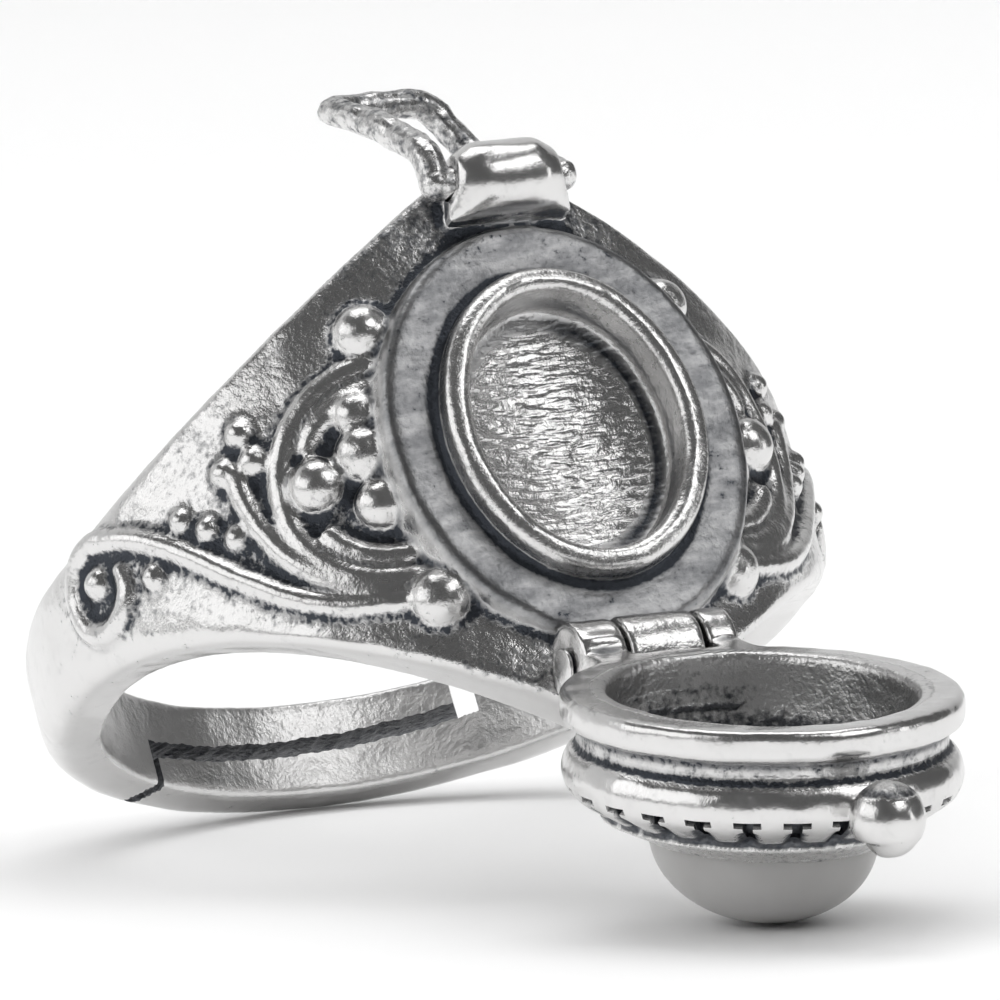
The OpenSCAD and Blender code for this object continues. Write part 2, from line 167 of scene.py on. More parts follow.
# Numbers of a mesh as an array with one row for each item
def readOut(items, key, width=3, kind=np.float32):
    flat = np.empty(len(items) * width, kind)
    items.foreach_get(key, flat)
    return flat.reshape(-1, width)


def points(obj):
    return readOut(obj.data.vertices, "co").astype(float)


def setPoints(obj, xyz):
    obj.data.vertices.foreach_set("co", xyz.astype(np.float32).ravel())
    obj.data.update()


def normalsOf(obj):
    return readOut(obj.data.vertex_normals, "vector").astype(float)


def ease(value, low, high):
    share = np.clip((value - low) / (high - low), 0, 1)
    return share * share * (3 - 2 * share)


def mix(low, high, share):
    return low + (high - low) * share


# Levels of an oval body, from the inset and height of each
def insetLevels(long, wide, rows):
    return [(long - inset, wide - inset, height) for inset, height in rows]


# One minus the sine and one minus the cosine of a quarter turn, at each share of it
def quarters(*shares):
    return [(1 - math.sin(math.pi / 2 * share), 1 - math.cos(math.pi / 2 * share)) for share in shares]


# An oval body, extruded level by level from a circle; rows hold half length, half width and height
def ovalBody(name, levels, segments):
    bpy.ops.mesh.primitive_circle_add(vertices=segments, radius=1, fill_type="NGON")
    obj = added(name)
    editAll(obj)
    halfLength, halfWidth, height = levels[0]
    bpy.ops.transform.resize(value=(halfWidth, halfLength, 1))
    bpy.ops.transform.translate(value=(0, 0, height))
    for row in levels[1:]:
        bpy.ops.mesh.extrude_region_move()
        bpy.ops.transform.resize(value=(row[1] / halfWidth, row[0] / halfLength, 1),
                                 center_override=(0, 0, height))
        bpy.ops.transform.translate(value=(0, 0, row[2] - height))
        halfLength, halfWidth, height = row
    bpy.ops.object.mode_set(mode="OBJECT")
    return tidied(obj)


# A grid whose sheet is rolled into a closed form by a rule from (along, across) to a point
def rolledGrid(name, along, across, rule):
    bpy.ops.mesh.primitive_grid_add(x_subdivisions=along, y_subdivisions=across, size=1)
    obj = added(name)
    flat = points(obj)
    setPoints(obj, rule(flat[:, 0] + 0.5, flat[:, 1] + 0.5))
    return tidied(obj)


def rod(name, start, end, diameter, bevel=0.0):
    bpy.ops.mesh.primitive_cylinder_add(
        vertices=meshForm["rodSegments"], radius=diameter / 2, depth=end - start,
        location=((start + end) / 2, 0, 0), rotation=(0, math.pi / 2, 0))
    obj = added(name)
    if bevel:
        bevelled(obj, bevel)
    return obj


def bevelled(obj, width):
    applied(obj, "BEVEL", width=width, segments=meshForm["bevelSegments"], limit_method="ANGLE")


def block(name, size, middle, place=Matrix.Identity(4)):
    bpy.ops.mesh.primitive_cube_add(size=1, scale=size, location=middle)
    return baked(added(name), place)


def ball(name, radius, middle):
    segments, rings = meshForm["balls"][name]
    bpy.ops.mesh.primitive_uv_sphere_add(segments=segments, ring_count=rings, radius=radius, location=middle)
    return baked(added(name), Matrix.Identity(4))


def combined(obj, other, operation):
    applied(obj, "BOOLEAN", operation=operation, solver="MANIFOLD", object=other)
    bpy.data.objects.remove(other)


def addTo(obj, extra):
    combined(obj, extra, "UNION")


def cutBy(obj, cutter):
    combined(obj, cutter, "DIFFERENCE")


def edgesOf(obj):
    return readOut(obj.data.edges, "vertices", 2, np.int32)


# Each round moves every value towards the mean of its neighbours'
def relaxed(values, edges, rounds):
    count = len(values)
    ends = np.concatenate([edges[:, 0], edges[:, 1]])
    others = np.concatenate([edges[:, 1], edges[:, 0]])
    degree = np.maximum(np.bincount(ends, minlength=count), 1)
    for _ in range(rounds):
        mean = np.stack([np.bincount(ends, values[others, k], count) / degree
                         for k in range(values.shape[1])], 1)
        values = values + meshForm["relax"] * (mean - values)
    return values


def writeAttribute(obj, name, values, domain="POINT"):
    layer = obj.data.attributes.new(name, "FLOAT", domain)
    layer.data.foreach_set("value", np.clip(values, 0, 1).astype(np.float32))


# The marks of wear, and on the ring also painted shade, as values on the points; those not given are nought
def writeMarks(obj, **marks):
    nought = np.zeros(len(obj.data.vertices))
    for name in ("cavity", "patina", "face", "inside", "cup"):
        writeAttribute(obj, name, nought + marks.get(name, 0))


# Turns overlapping solids into one cast skin, smoothed and made uneven; sizes in millimetres
def castSkin(obj, skin):
    applied(obj, "REMESH", mode="VOXEL", voxel_size=skin["voxel"], use_smooth_shade=True)
    setPoints(obj, relaxed(points(obj), edgesOf(obj), skin["rounds"]))
    count = len(obj.data.polygons) * 2
    if count > meshForm["triangles"]:
        applied(obj, "DECIMATE", ratio=meshForm["triangles"] / count)
    for size, depth, level in skin["uneven"]:
        texture = bpy.data.textures.new("casting", "CLOUDS")
        texture.noise_scale = size
        texture.noise_depth = 2
        applied(obj, "DISPLACE", texture=texture, texture_coords="LOCAL", strength=depth, mid_level=level)
        bpy.data.textures.remove(texture)
    return obj


# Middles and directions of the faces
def facesOf(obj):
    return [readOut(obj.data.polygons, key).astype(float) for key in ("center", "normal")]


# Positive where the surface lies below its surroundings, in millimetres
def hollowness(obj, rounds):
    xyz = points(obj)
    return ((relaxed(xyz, edgesOf(obj), rounds) - xyz) * normalsOf(obj)).sum(1)


# The band and its plate
def halfWidthAt(degrees):
    form = ringForm
    turn = np.abs(degrees)
    side = bandRadius * np.sin(np.radians(np.minimum(turn, 90)))
    tip = form["tipRound"]
    slope = (form["plateHeight"] - form["sideWidth"]) / 2 / (math.hypot(bandRadius, tip) - tip)
    plate = form["plateHeight"] / 2 - slope * (np.hypot(side, tip) - tip)
    palm = mix(form["sideWidth"], form["palmWidth"], ease(turn, 90, form["palmTurn"])) / 2
    return np.where(turn <= 90, plate, palm)


def edgeWidthAt(degrees):
    form = ringForm
    turn = np.abs(degrees)
    even = form["evenTurn"]
    front = mix(form["plateEdge"], form["sideEdge"], ease(turn, form["plateTurn"], 90 - even))
    back = mix(form["sideEdge"], form["palmEdge"], ease(turn, 90 + even, form["palmTurn"]))
    return np.where(turn < 90, front, back)


def bandRule(along, across):
    form = ringForm
    degrees = -180 + 360 * along
    half = halfWidthAt(degrees)
    wide = np.minimum(edgeWidthAt(degrees), half * form["edgeShare"])
    far = ease(np.abs(degrees), form["plateTurn"], form["dropTurn"])
    drop = mix(form["plateEdge"], form["palmEdge"], far)
    inner = form["innerEdge"]
    thick = form["bandThickness"]
    # Eight legs: inner wall, inner corner, side, outer corner, face, outer corner, side, inner corner
    step = across * 8
    leg = np.floor(np.minimum(step, 7.999))
    share = step - leg
    legs = [leg == index for index in range(7)]
    rising = 1 - np.sin(share * math.pi / 2)
    falling = 1 - np.cos(share * math.pi / 2)
    radius = form["boreRadius"] + np.select(
        legs, [0 * share, inner * falling, mix(inner, thick - drop, share), thick - drop * rising,
               thick + 0 * share, thick - drop * falling, mix(thick - drop, inner, share)],
        inner * rising)
    height = np.select(
        legs, [mix(inner - half, half - inner, share), half - inner * rising, half, half - wide * falling,
               mix(half - wide, wide - half, share), -half + wide * rising, -half],
        -half + inner * falling)
    turn = np.radians(degrees)
    return np.stack([radius * np.sin(turn), -radius * np.cos(turn), height], 1)


def around(degrees, radius, height):
    turn = math.radians(degrees)
    return Vector((radius * math.sin(turn), -radius * math.cos(turn), height))


def onFront(radius):
    return Matrix.Translation((ringForm["frontShift"], -radius, 0)) @ Matrix.Rotation(math.pi / 2, 4, "X")


def platformBody():
    form = platformForm
    edge = form["edge"]
    wall = form["collarWall"]
    long, wide = form["halfLength"], form["halfWidth"]
    ringLong, ringWide = form["collarHalfLength"], form["collarHalfWidth"]
    cut = edge * form["edgeCut"]
    foot = -form["rise"] * form["foot"]
    levels = insetLevels(long, wide, [(-edge / 2, foot), (0, -edge), (cut, -cut), (edge, 0)])
    levels += insetLevels(ringLong, ringWide, [(-edge, -form["dish"] / 2), (0, -form["dish"] * 1.4)])
    levels += insetLevels(ringLong, ringWide, [
        (wall / 2 * falling, form["collarHeight"] - wall * form["collarRound"] * rising)
        for rising, falling in quarters(0, 0.15, 0.3, 0.45, 0.6, 0.8, 1)])
    obj = ovalBody("platform", levels, meshForm["outerSegments"])
    flat = points(obj)
    outside = ease(np.hypot(flat[:, 0] / ringWide, flat[:, 1] / ringLong), 1.0, 1.06)
    flat[:, 2] -= form["bow"] * (flat[:, 0] / wide) ** 2 * outside
    setPoints(obj, flat)
    return baked(obj, onFront(platformRadius))


# The cup, with a dished floor and a flared lip
def cupCutter():
    form = platformForm
    wall = form["collarWall"]
    long = form["collarHalfLength"] - wall
    wide = form["collarHalfWidth"] - wall
    soft = form["cupRound"]
    levels = []
    for share in (0.03, 0.2, 0.4, 0.6, 0.75, 0.85, 0.93, 1.0):
        levels.append(((long - soft) * share, (wide - soft) * share,
                       -form["cupDepth"] - form["cupDip"] + form["cupDish"] * share ** 2))
    levels += insetLevels(long, wide, [
        (soft * rising, -form["cupDepth"] + form["cupLift"] + soft * falling)
        for rising, falling in quarters(0.2, 0.4, 0.6, 0.8, 1)])
    levels += insetLevels(long, wide, [
        (-wall / 2 * falling, -wall * form["collarRound"] * rising)
        for rising, falling in quarters(0, 0.2, 0.4, 0.6, 0.8, 0.97)])
    levels.append((long + wall / 2, wide + wall / 2, form["cupClear"]))
    cup = ovalBody("cup", levels, meshForm["outerSegments"])
    return baked(cup, onFront(platformRadius + form["collarHeight"]))


ornamentForm = {
    "wire": 0.68, "wireSunk": 0.03, "granuleSunk": -0.05, "crescentRadius": 2.95, "crescentStep": 0.62,
    "crescentTurn": -24.9, "crescentHeight": -0.15,
    # Rings of the crescent, counted inwards, with first angle, last angle and steps
    "crescents": [(0, 100, -95, 14), (1, 105, 28, 6), (1, -28, -95, 6)],
    "endShare": 0.75,  # thickness of each wire at its end
    "granule": 1.66,
    # Scrolled wires of the left flank, as pairs of angle from the front and height
    "leaf": [(-46.6, 1.2), (-46.2, 0.3), (-43.8, -1), (-38.8, -2.25), (-32.2, -3.05), (-26.2, -3.45)],
    "scroll": [(-25.2, -3.75), (-30.2, -3.6), (-36.2, -3.3), (-43.2, -2.6), (-49.7, -1.6), (-56.2, -0.45),
               (-62.2, 0.45), (-68.7, 1.1), (-74.7, 1.4), (-79.5, 0.8), (-80, -0.15), (-76.5, -0.95),
               (-71.8, -0.9), (-68.8, -0.25), (-69.4, 0.45)],
    # Granules, each with its angle, its height and its share of the largest one
    "granules": [(-23, -3.87, 1), (-23.9, 3.76, 0.92), (-35.5, 0.04, 0.95), (-28.1, 0.48, 0.95),
                 (-27.5, -0.98, 0.9), (-27.7, 1.6, 0.8), (-44.5, 2.15, 0.5), (-43.4, 1.3, 0.5),
                 (-48.1, 1.3, 0.5), (-56.7, 0.62, 0.42), (-52.8, 0.07, 0.44), (-48.8, -0.5, 0.46),
                 (-74.1, 0.3, 0.58), (-63.4, -0.4, 0.46)],
}


# A round wire along points, with a thickness share at each, turned into a mesh
def wireBody(name, path, diameter, shares=None, resolution=6):
    bpy.ops.curve.primitive_nurbs_path_add()
    obj = bpy.context.active_object
    obj.name = name
    curve = obj.data
    curve.splines.clear()
    spline = curve.splines.new("BEZIER")
    spline.bezier_points.add(len(path) - 1)
    for index, place in enumerate(path):
        point = spline.bezier_points[index]
        point.co = place
        point.handle_left_type = point.handle_right_type = "AUTO"
        point.radius = shares[index] if shares else 1
    curve.dimensions = "3D"
    curve.resolution_u = resolution
    curve.bevel_depth = diameter / 2
    curve.bevel_resolution = 4
    curve.use_fill_caps = True
    onlyThis(obj)
    bpy.ops.object.convert(target="MESH")
    return tidied(added(name))


def crescent(radius, start, end, count):
    turns = [math.radians(start + (end - start) * i / count) for i in range(count + 1)]
    return [(ornamentForm["crescentTurn"] - math.degrees(radius * math.cos(turn) / bandRadius),
             radius * math.sin(turn) + ornamentForm["crescentHeight"]) for turn in turns]


def ornamentSide(mirrored):
    form = ornamentForm
    turn = math.degrees(math.asin(ringForm["frontShift"] / bandRadius)) / 2
    side = -1 if mirrored else 1
    lines = [crescent(form["crescentRadius"] - form["crescentStep"] * ring, start, end, count)
             for ring, start, end, count in form["crescents"]]
    pieces = []
    for line in lines + [form["leaf"], form["scroll"]]:
        path = [around(side * degrees + turn, bandRadius - form["wireSunk"], height)
                for degrees, height in line]
        shares = [1.0] * (len(path) - 1) + [form["endShare"]]
        pieces.append(wireBody("wire", path, form["wire"], shares))
    for degrees, height, share in form["granules"]:
        size = form["granule"] * share
        place = around(side * degrees + turn, bandRadius + size * form["granuleSunk"], height)
        pieces.append(ball("granule", size / 2, place))
    return pieces


hoodForm = {
    "diameter": 2.1, "length": 2.82, "flare": 1.3,
    "gap": 0.15,  # to the end of the platform
    "axleUp": 0.5,  # above the band's face
    "bore": 0.9, "round": 0.4, "crownBeyond": 0.1, "middleShare": 0.7, "footShare": 0.1,
    "rootShort": 0.05,  # keeps the root out of the finger hole
}
axleRadius = bandRadius + hoodForm["axleUp"]
axleHeight = platformForm["halfLength"] + hoodForm["gap"] + hoodForm["diameter"] / 2
atAxle = Matrix.Translation((ringForm["frontShift"], -axleRadius, axleHeight))


# A hull over the axle, longer at its foot than at its crown
def hoodBody():
    form = hoodForm
    size = form["diameter"]
    crown = form["length"] - form["flare"] / 2
    foot = form["length"] + form["flare"] / 2
    reach = crown / 2 + form["crownBeyond"]
    crownRod = rod("hood", -reach, reach, size, form["round"])
    middleRod = rod("middle", -form["length"] / 2, form["length"] / 2, size * form["middleShare"])
    thin = size * form["footShare"]
    bpy.ops.mesh.primitive_cube_add(size=1, scale=(foot, form["axleUp"], thin),
                                    location=(0, (thin + form["axleUp"]) / 2, (thin - size) / 2))
    hood = joined("hood", [crownRod, middleRod, added("foot")])
    bpy.ops.object.transform_apply(location=True, rotation=True, scale=True)
    editAll(hood)
    bpy.ops.mesh.convex_hull()
    bpy.ops.object.mode_set(mode="OBJECT")
    deep = axleRadius - ringForm["boreRadius"] - form["rootShort"]
    root = block("hoodRoot", (crown, deep, size * form["middleShare"]), (0, deep / 2, -thin / 2), atAxle)
    return [baked(hood, atAxle), root]


def middleKnuckle():
    form = hingeForm
    deep, tall = form["root"]
    barrel = rod("knuckle", middleStart, middleEnd, form["knuckle"], form["edge"])
    middle = (form["middleShift"], deep / 2, form["rootUp"])
    return [baked(barrel, atHinge), block("root", (form["middle"], deep, tall), middle, atHinge)]


splitForm = {
    "slit": 0.46,
    "slope": 0.5,  # how much higher the slit ends on the right
    "gap": 0.62, "leftGap": 0.3, "ragged": 0.05, "waves": (31, 83, 197),
    "beyond": 1,  # reach of the cutters past the faces of the band
    "steps": 160, "rightStep": 150, "leftStep": 143,
}


# A block that follows the band between two angles and two heights, rising towards its start
def bandBlock(start, end, low, high, rise=0.0):
    form = splitForm

    def rule(along, across):
        turn = np.radians(mix(start, end, along))
        corner = np.rint(across * 4).astype(int) % 4
        outside = (corner == 1) | (corner == 2)
        radius = np.where(outside, bandRadius + form["beyond"], ringForm["boreRadius"] - form["beyond"])
        first, second, third = form["waves"]
        ripple = np.sin(along * first) + np.sin(along * second) + np.sin(along * third + corner)
        height = np.where(corner >= 2, high, low) + rise * (0.5 - along) + form["ragged"] * ripple / 3
        return np.stack([radius * np.sin(turn), -radius * np.cos(turn), height], 1)
    body = rolledGrid("block", form["steps"], 4, rule)
    onlyThis(body)
    bpy.ops.object.mode_set(mode="EDIT")
    bpy.ops.mesh.select_all(action="DESELECT")
    bpy.ops.mesh.select_non_manifold()
    bpy.ops.mesh.fill_holes(sides=0)
    bpy.ops.mesh.select_all(action="SELECT")
    bpy.ops.mesh.normals_make_consistent(inside=False)
    bpy.ops.object.mode_set(mode="OBJECT")
    return body


# The ring: cast skin first, then the cuts
def ringVisual():
    pieces = [rolledGrid("band", *ringForm["steps"], bandRule), platformBody()]
    pieces += hoodBody() + middleKnuckle() + ornamentSide(False) + ornamentSide(True)
    obj = castSkin(joined("ringSkin", pieces), ringForm["skin"])
    cutBy(obj, cupCutter())
    # A casting bead at the upper edge of the cup's floor
    addTo(obj, ball("nub", platformForm["nub"], platformForm["nubPlace"]))
    for cutter in splitCutters() + [axleBore()] + hingeCutters():
        cutBy(obj, cutter)
    return obj


def splitCutters():
    form = splitForm
    slit = form["slit"] / 2
    rise = form["slope"]
    wide = ringForm["palmWidth"]
    right, left = form["rightStep"], 360 - form["leftStep"]
    rightGap = math.degrees(form["gap"] / ringForm["boreRadius"])
    leftGap = math.degrees(form["leftGap"] / ringForm["boreRadius"])
    return [bandBlock(right, left, -slit, slit, rise),
            bandBlock(right, right + rightGap, rise / 2 - slit, wide),
            bandBlock(left - leftGap, left, -wide, slit - rise / 2)]


def axleBore():
    form = hoodForm
    return baked(rod("axleBore", -form["length"], form["length"], form["bore"]), atAxle)


def pinBore(place):
    form = hingeForm
    return baked(rod("pinBore", -form["barrel"], form["barrel"], form["bore"]), place)


def hingeCutters():
    form = hingeForm
    beyond = form["barrel"] / 2 + form["troughBeyond"]
    wide = form["knuckle"] + form["troughPlay"]
    return [baked(rod("trough", -beyond, middleStart, wide), atHinge),
            baked(rod("trough", middleEnd, beyond, wide), atHinge), pinBore(atHinge)]


lidForm = {
    "halfLength": 5.55, "halfWidth": 5.0, "play": 0.18, "rim": 0.88, "grooveDepth": 0.42, "groove": 0.62,
    "bead": 1.5,
    # Insets of the rim's edges, with their distance from its lower and upper side
    "rimLower": [(0.3, 0), (0.15, 0.03), (0.05, 0.11), (0, 0.25)],
    "rimUpper": [(0, 0.25), (0.05, 0.11), (0.15, 0.03), (0.27, 0)],
    # Edges of the groove: how much shallower, and the distance from its lower and upper side
    "grooveEdges": [(0.06, 0.02), (0, 0.09)],
    # Insets and heights of the bead, as shares of its size, between its foot and its end
    "beadFoot": 0.255, "beadProfile": [(0.07, 0.16), (0.03, 0.42), (0.15, 0.74)], "beadEnd": (0.49, 0.05),
    # Foot and top of the collet: insets as shares, and heights in millimetres
    "colletFoot": [(0.6, 0.03), (0.63, 0.1), (0.66, 0.2625)],
    "colletTop": [(0.5, 0.1), (0.42, 0.02), (0.32, 0)],
    # Flared mouth of the hollow, and its upper corner as shares of the web
    "hollowMouth": [(-0.36, -0.1), (-0.3, -0.02), (-0.12, 0.03), (-0.03, 0.1), (0, 0.22)],
    "hollowCorner": [(0.15, 1), (0.4, 0.4), (1, 0)], "collet": 0.75, "web": 0.7, "seatGap": 0.06,
    "catch": 1.95, "catchOut": 0.95, "catchUp": 2.15, "catchSide": 0.3, "knuckleEdge": 0.09,
    "leafOver": 0.16,  # how far the knuckles' leaf stands above the rim
    "leafPlay": 0.02, "stamps": 25, "stampDepth": 0.2,
    "stampPlace": 0.76,  # share of the bead's height
    "stampTilt": 0.9,
    # Each stamp's two bars, by size and middle
    "bar": [(0.7, 0.17, 0.6), (0, -0.24, 0)], "stem": [(0.26, 0.8, 0.8), (0, 0.12, -0.1)],
    "scallop": 0.14, "scallopPower": 6, "scallopShare": 0.75,
    # Heights about the bead's top between which the lobes come and go
    "scallopIn": (-0.42, -0.25), "scallopOut": (0.05, 0.2),
    "skin": {"voxel": 0.085, "rounds": 2, "uneven": [(1.1, 0.05, 0.75), (0.4, 0.014, 0.7)]},
}
stoneForm = {
    "halfLength": 3.45, "halfWidth": 2.75, "dome": 2.19, "seatDepth": 0.5, "seatClear": 0.3, "gap": 0.04,
    "foot": 0.06, "steps": 32,
    "lastTurn": 88.5,  # degrees up the dome where its small flat top begins
}
grooveTop = lidForm["rim"] + lidForm["groove"]
beadTop = grooveTop + lidForm["bead"]
colletTop = beadTop + lidForm["collet"]
seatFloor = colletTop - stoneForm["seatDepth"]
hollowTop = seatFloor - lidForm["web"]
# The lid is modelled shut and with its middle at x = 0
lidFace = -platformRadius - lidForm["seatGap"]
lidBase = Matrix.Translation((0, lidFace, 0)) @ Matrix.Rotation(math.pi / 2, 4, "X")
lidHinge = Matrix.Translation((0, -hingeRadius, -hingeHeight))
opening = Matrix.Rotation(math.radians(hingeForm["openAngle"]), 4, "X")
opened = atHinge @ opening @ atHinge.inverted() @ Matrix.Translation((ringForm["frontShift"], 0, 0))


# A smooth curve through rows, with several steps between one row and the next
def smoothRows(rows, steps):
    rows = np.array(rows, float)
    result = []
    for i in range(len(rows) - 1):
        before, start = rows[max(i - 1, 0)], rows[i]
        end, after = rows[i + 1], rows[min(i + 2, len(rows) - 1)]
        for t in np.arange(steps) / steps:
            curved = 2 * start + (end - before) * t + (2 * before - 5 * start + 4 * end - after) * t * t
            result.append(0.5 * (curved + (3 * start - before - 3 * end + after) * t ** 3))
    result.append(rows[-1])
    return [tuple(row) for row in result]


def beadRows():
    form = lidForm
    long, wide, bead = form["halfLength"], form["halfWidth"], form["bead"]
    share, down = form["beadEnd"]
    profile = [(form["beadFoot"], 0)] + [(bead * inset, bead * up) for inset, up in form["beadProfile"]]
    profile.append((bead * share, bead - down))
    return smoothRows(insetLevels(long, wide, [(inset, grooveTop + up) for inset, up in profile]), 4)


def lidShell():
    form = lidForm
    rim, deep, collet = form["rim"], form["grooveDepth"], form["collet"]
    rows = form["rimLower"] + [(inset, rim - down) for inset, down in form["rimUpper"]]
    rows += [(deep - less, rim + up) for less, up in form["grooveEdges"]]
    rows += [(deep - less, grooveTop - down) for less, down in form["grooveEdges"][::-1]]
    long, wide = form["halfLength"], form["halfWidth"]
    levels = insetLevels(long, wide, rows) + beadRows()
    levels += insetLevels(long, wide, [
        (form["bead"] * share, beadTop + up) for share, up in form["colletFoot"]])
    levels += insetLevels(stoneForm["halfLength"], stoneForm["halfWidth"], [
        (-collet * share, colletTop - down) for share, down in form["colletTop"]])
    return baked(ovalBody("lidShell", levels, meshForm["outerSegments"]), lidBase)


def lidHollow():
    form = lidForm
    long = platformForm["collarHalfLength"] + form["play"]
    wide = platformForm["collarHalfWidth"] + form["play"]
    web = form["web"]
    mouth = form["hollowMouth"] + [(0, platformForm["collarHeight"] + form["play"])]
    corner = [(web * inset, hollowTop - web * down) for inset, down in form["hollowCorner"]]
    levels = insetLevels(long, wide, mouth) + smoothRows(insetLevels(long, wide, corner), 3)
    return baked(ovalBody("lidHollow", levels, meshForm["innerSegments"]), lidBase)


def stoneSeat():
    gap = stoneForm["gap"]
    long, wide = stoneForm["halfLength"] + gap, stoneForm["halfWidth"] + gap
    levels = [(long, wide, seatFloor), (long, wide, colletTop + stoneForm["seatClear"])]
    return baked(ovalBody("seat", levels, meshForm["innerSegments"]), lidBase)


def lidKnuckle(start, end):
    size = hingeForm["knuckle"]
    middle = (start + end) / 2
    leaf = lidForm["rim"] + lidForm["leafOver"]
    across = math.sqrt(1 - (middle / lidForm["halfWidth"]) ** 2)
    depth = hingeHeight - lidForm["halfLength"] * across + size / 6
    barrel = baked(rod("knuckle", start, end, size, lidForm["knuckleEdge"]), lidHinge)
    return [barrel, block("leaf", (end - start - lidForm["leafPlay"], leaf, depth),
                          (middle, lidFace - leaf / 2, -hingeHeight + depth / 2))]


# T-shaped stamps round the bead; the first is modelled, the others are its copies
def stampCutters():
    form = lidForm
    bar = block("bar", *form["bar"])
    addTo(bar, block("stem", *form["stem"]))
    rows = beadRows()
    height = grooveTop + form["bead"] * form["stampPlace"]
    reach = float(np.interp(height, [row[2] for row in rows], [form["halfWidth"] - row[1] for row in rows]))
    long, wide = form["halfLength"], form["halfWidth"]
    sunk = form["bar"][0][2] / 2 - form["stampDepth"]
    stamps = []
    for index in range(form["stamps"]):
        turn = 2 * math.pi * (index + 0.5) / form["stamps"]
        place = Vector(((wide - reach) * math.cos(turn), (long - reach) * math.sin(turn), height))
        outward = Vector((math.cos(turn) / wide, math.sin(turn) / long, 0)).normalized()
        up = (Vector((0, 0, 1)) - outward * form["stampTilt"]).normalized()
        out = (outward + Vector((0, 0, form["stampTilt"]))).normalized()
        side = up.cross(out)
        copy = bpy.data.objects.new("stamp", bar.data.copy())
        bpy.context.scene.collection.objects.link(copy)
        turned = Matrix((side, up, out)).transposed().to_4x4()
        baked(copy, lidBase @ Matrix.Translation(place + out * sunk) @ turned)
        stamps.append(copy)
    bpy.data.objects.remove(bar)
    return stamps


def lidVisual():
    form = hingeForm
    low = middleStart - form["gap"]
    high = middleEnd + form["gap"]
    shell = lidShell()
    extras = lidKnuckle(-form["barrel"] / 2, low) + lidKnuckle(high, form["barrel"] / 2)
    # The left knuckle is squared
    squarePlace = Matrix.Translation(((low - form["barrel"] / 2) / 2, -hingeRadius, -hingeHeight))
    square = block("square", (1, 1, 1), (0, 0, 0),
                   Matrix.Diagonal((low + form["barrel"] / 2, form["square"], form["square"], 1)))
    bevelled(square, form["square"] * form["squareEdge"])
    extras.append(baked(square, squarePlace))
    catchHeight = lidForm["halfLength"] + lidForm["catchOut"]
    catchPlace = (lidForm["catchSide"], lidFace - lidForm["catchUp"], catchHeight)
    extras.append(ball("catch", lidForm["catch"] / 2, catchPlace))
    for extra in extras:
        addTo(shell, extra)
    cutBy(shell, lidHollow())
    cutBy(shell, stoneSeat())
    castSkin(shell, lidForm["skin"])
    scalloped(shell)
    writeAttribute(shell, "cavity", ease(hollowness(shell, lidWear["rounds"]), *lidWear["cavity"]))
    for cutter in stampCutters() + [pinBore(lidHinge)]:
        cutBy(shell, cutter)
    dullLid(shell)
    return baked(shell, opened)


# Points of the shut lid in the lid's own directions
def inLid(obj):
    back = lidBase.inverted()
    return points(obj) @ np.array(back.to_3x3()).T + np.array(back.translation)


# Small lobes along the bead's edge, with a dent under each stamp
def scalloped(obj):
    form = lidForm
    local = inLid(obj)
    turn = np.arctan2(local[:, 1] / form["halfLength"], local[:, 0] / form["halfWidth"])
    wave = np.abs(np.sin(turn * form["stamps"] / 2)) ** form["scallopPower"]
    share = np.hypot(local[:, 0] / form["halfWidth"], local[:, 1] / form["halfLength"])
    high = local[:, 2] - beadTop
    dent = form["scallop"] * wave * ease(high, *form["scallopIn"]) * (share > form["scallopShare"])
    dent *= 1 - ease(high, *form["scallopOut"])
    setPoints(obj, points(obj) - normalsOf(obj) * dent[:, None])


# Where each mark of wear begins and is full, and how strong it is
lidWear = {
    "rounds": 12,  # rounds of smoothing that hollows are measured against
    "cavity": (0.004, 0.03), "old": 0.8, "stamp": (0.06, 0.12), "stampStrength": 1.15, "stampBelow": 0.2,
    "stampAbove": 0.15, "stampReach": 0.8,
    "outer": 0.8,  # share of the lid beyond which the rim and the bead lie
    "grooveLow": (-0.02, 0.08), "grooveHigh": (-0.12, 0.05), "seamLow": (-0.22, -0.08),
    "seamHigh": (-0.04, 0.06), "within": 0.84, "withinAbove": 0.2, "collet": (0.1, 0.3),
    "floor": (1.3, 1.8), "floorSide": (0.55, 0.7),
    "patina": {"groove": 0.25, "seam": 0.6, "collet": 0.25, "within": 0.18, "floor": 0.55},
    "rough": {"within": 0.9, "groove": 0.7, "collet": 0.6},
}


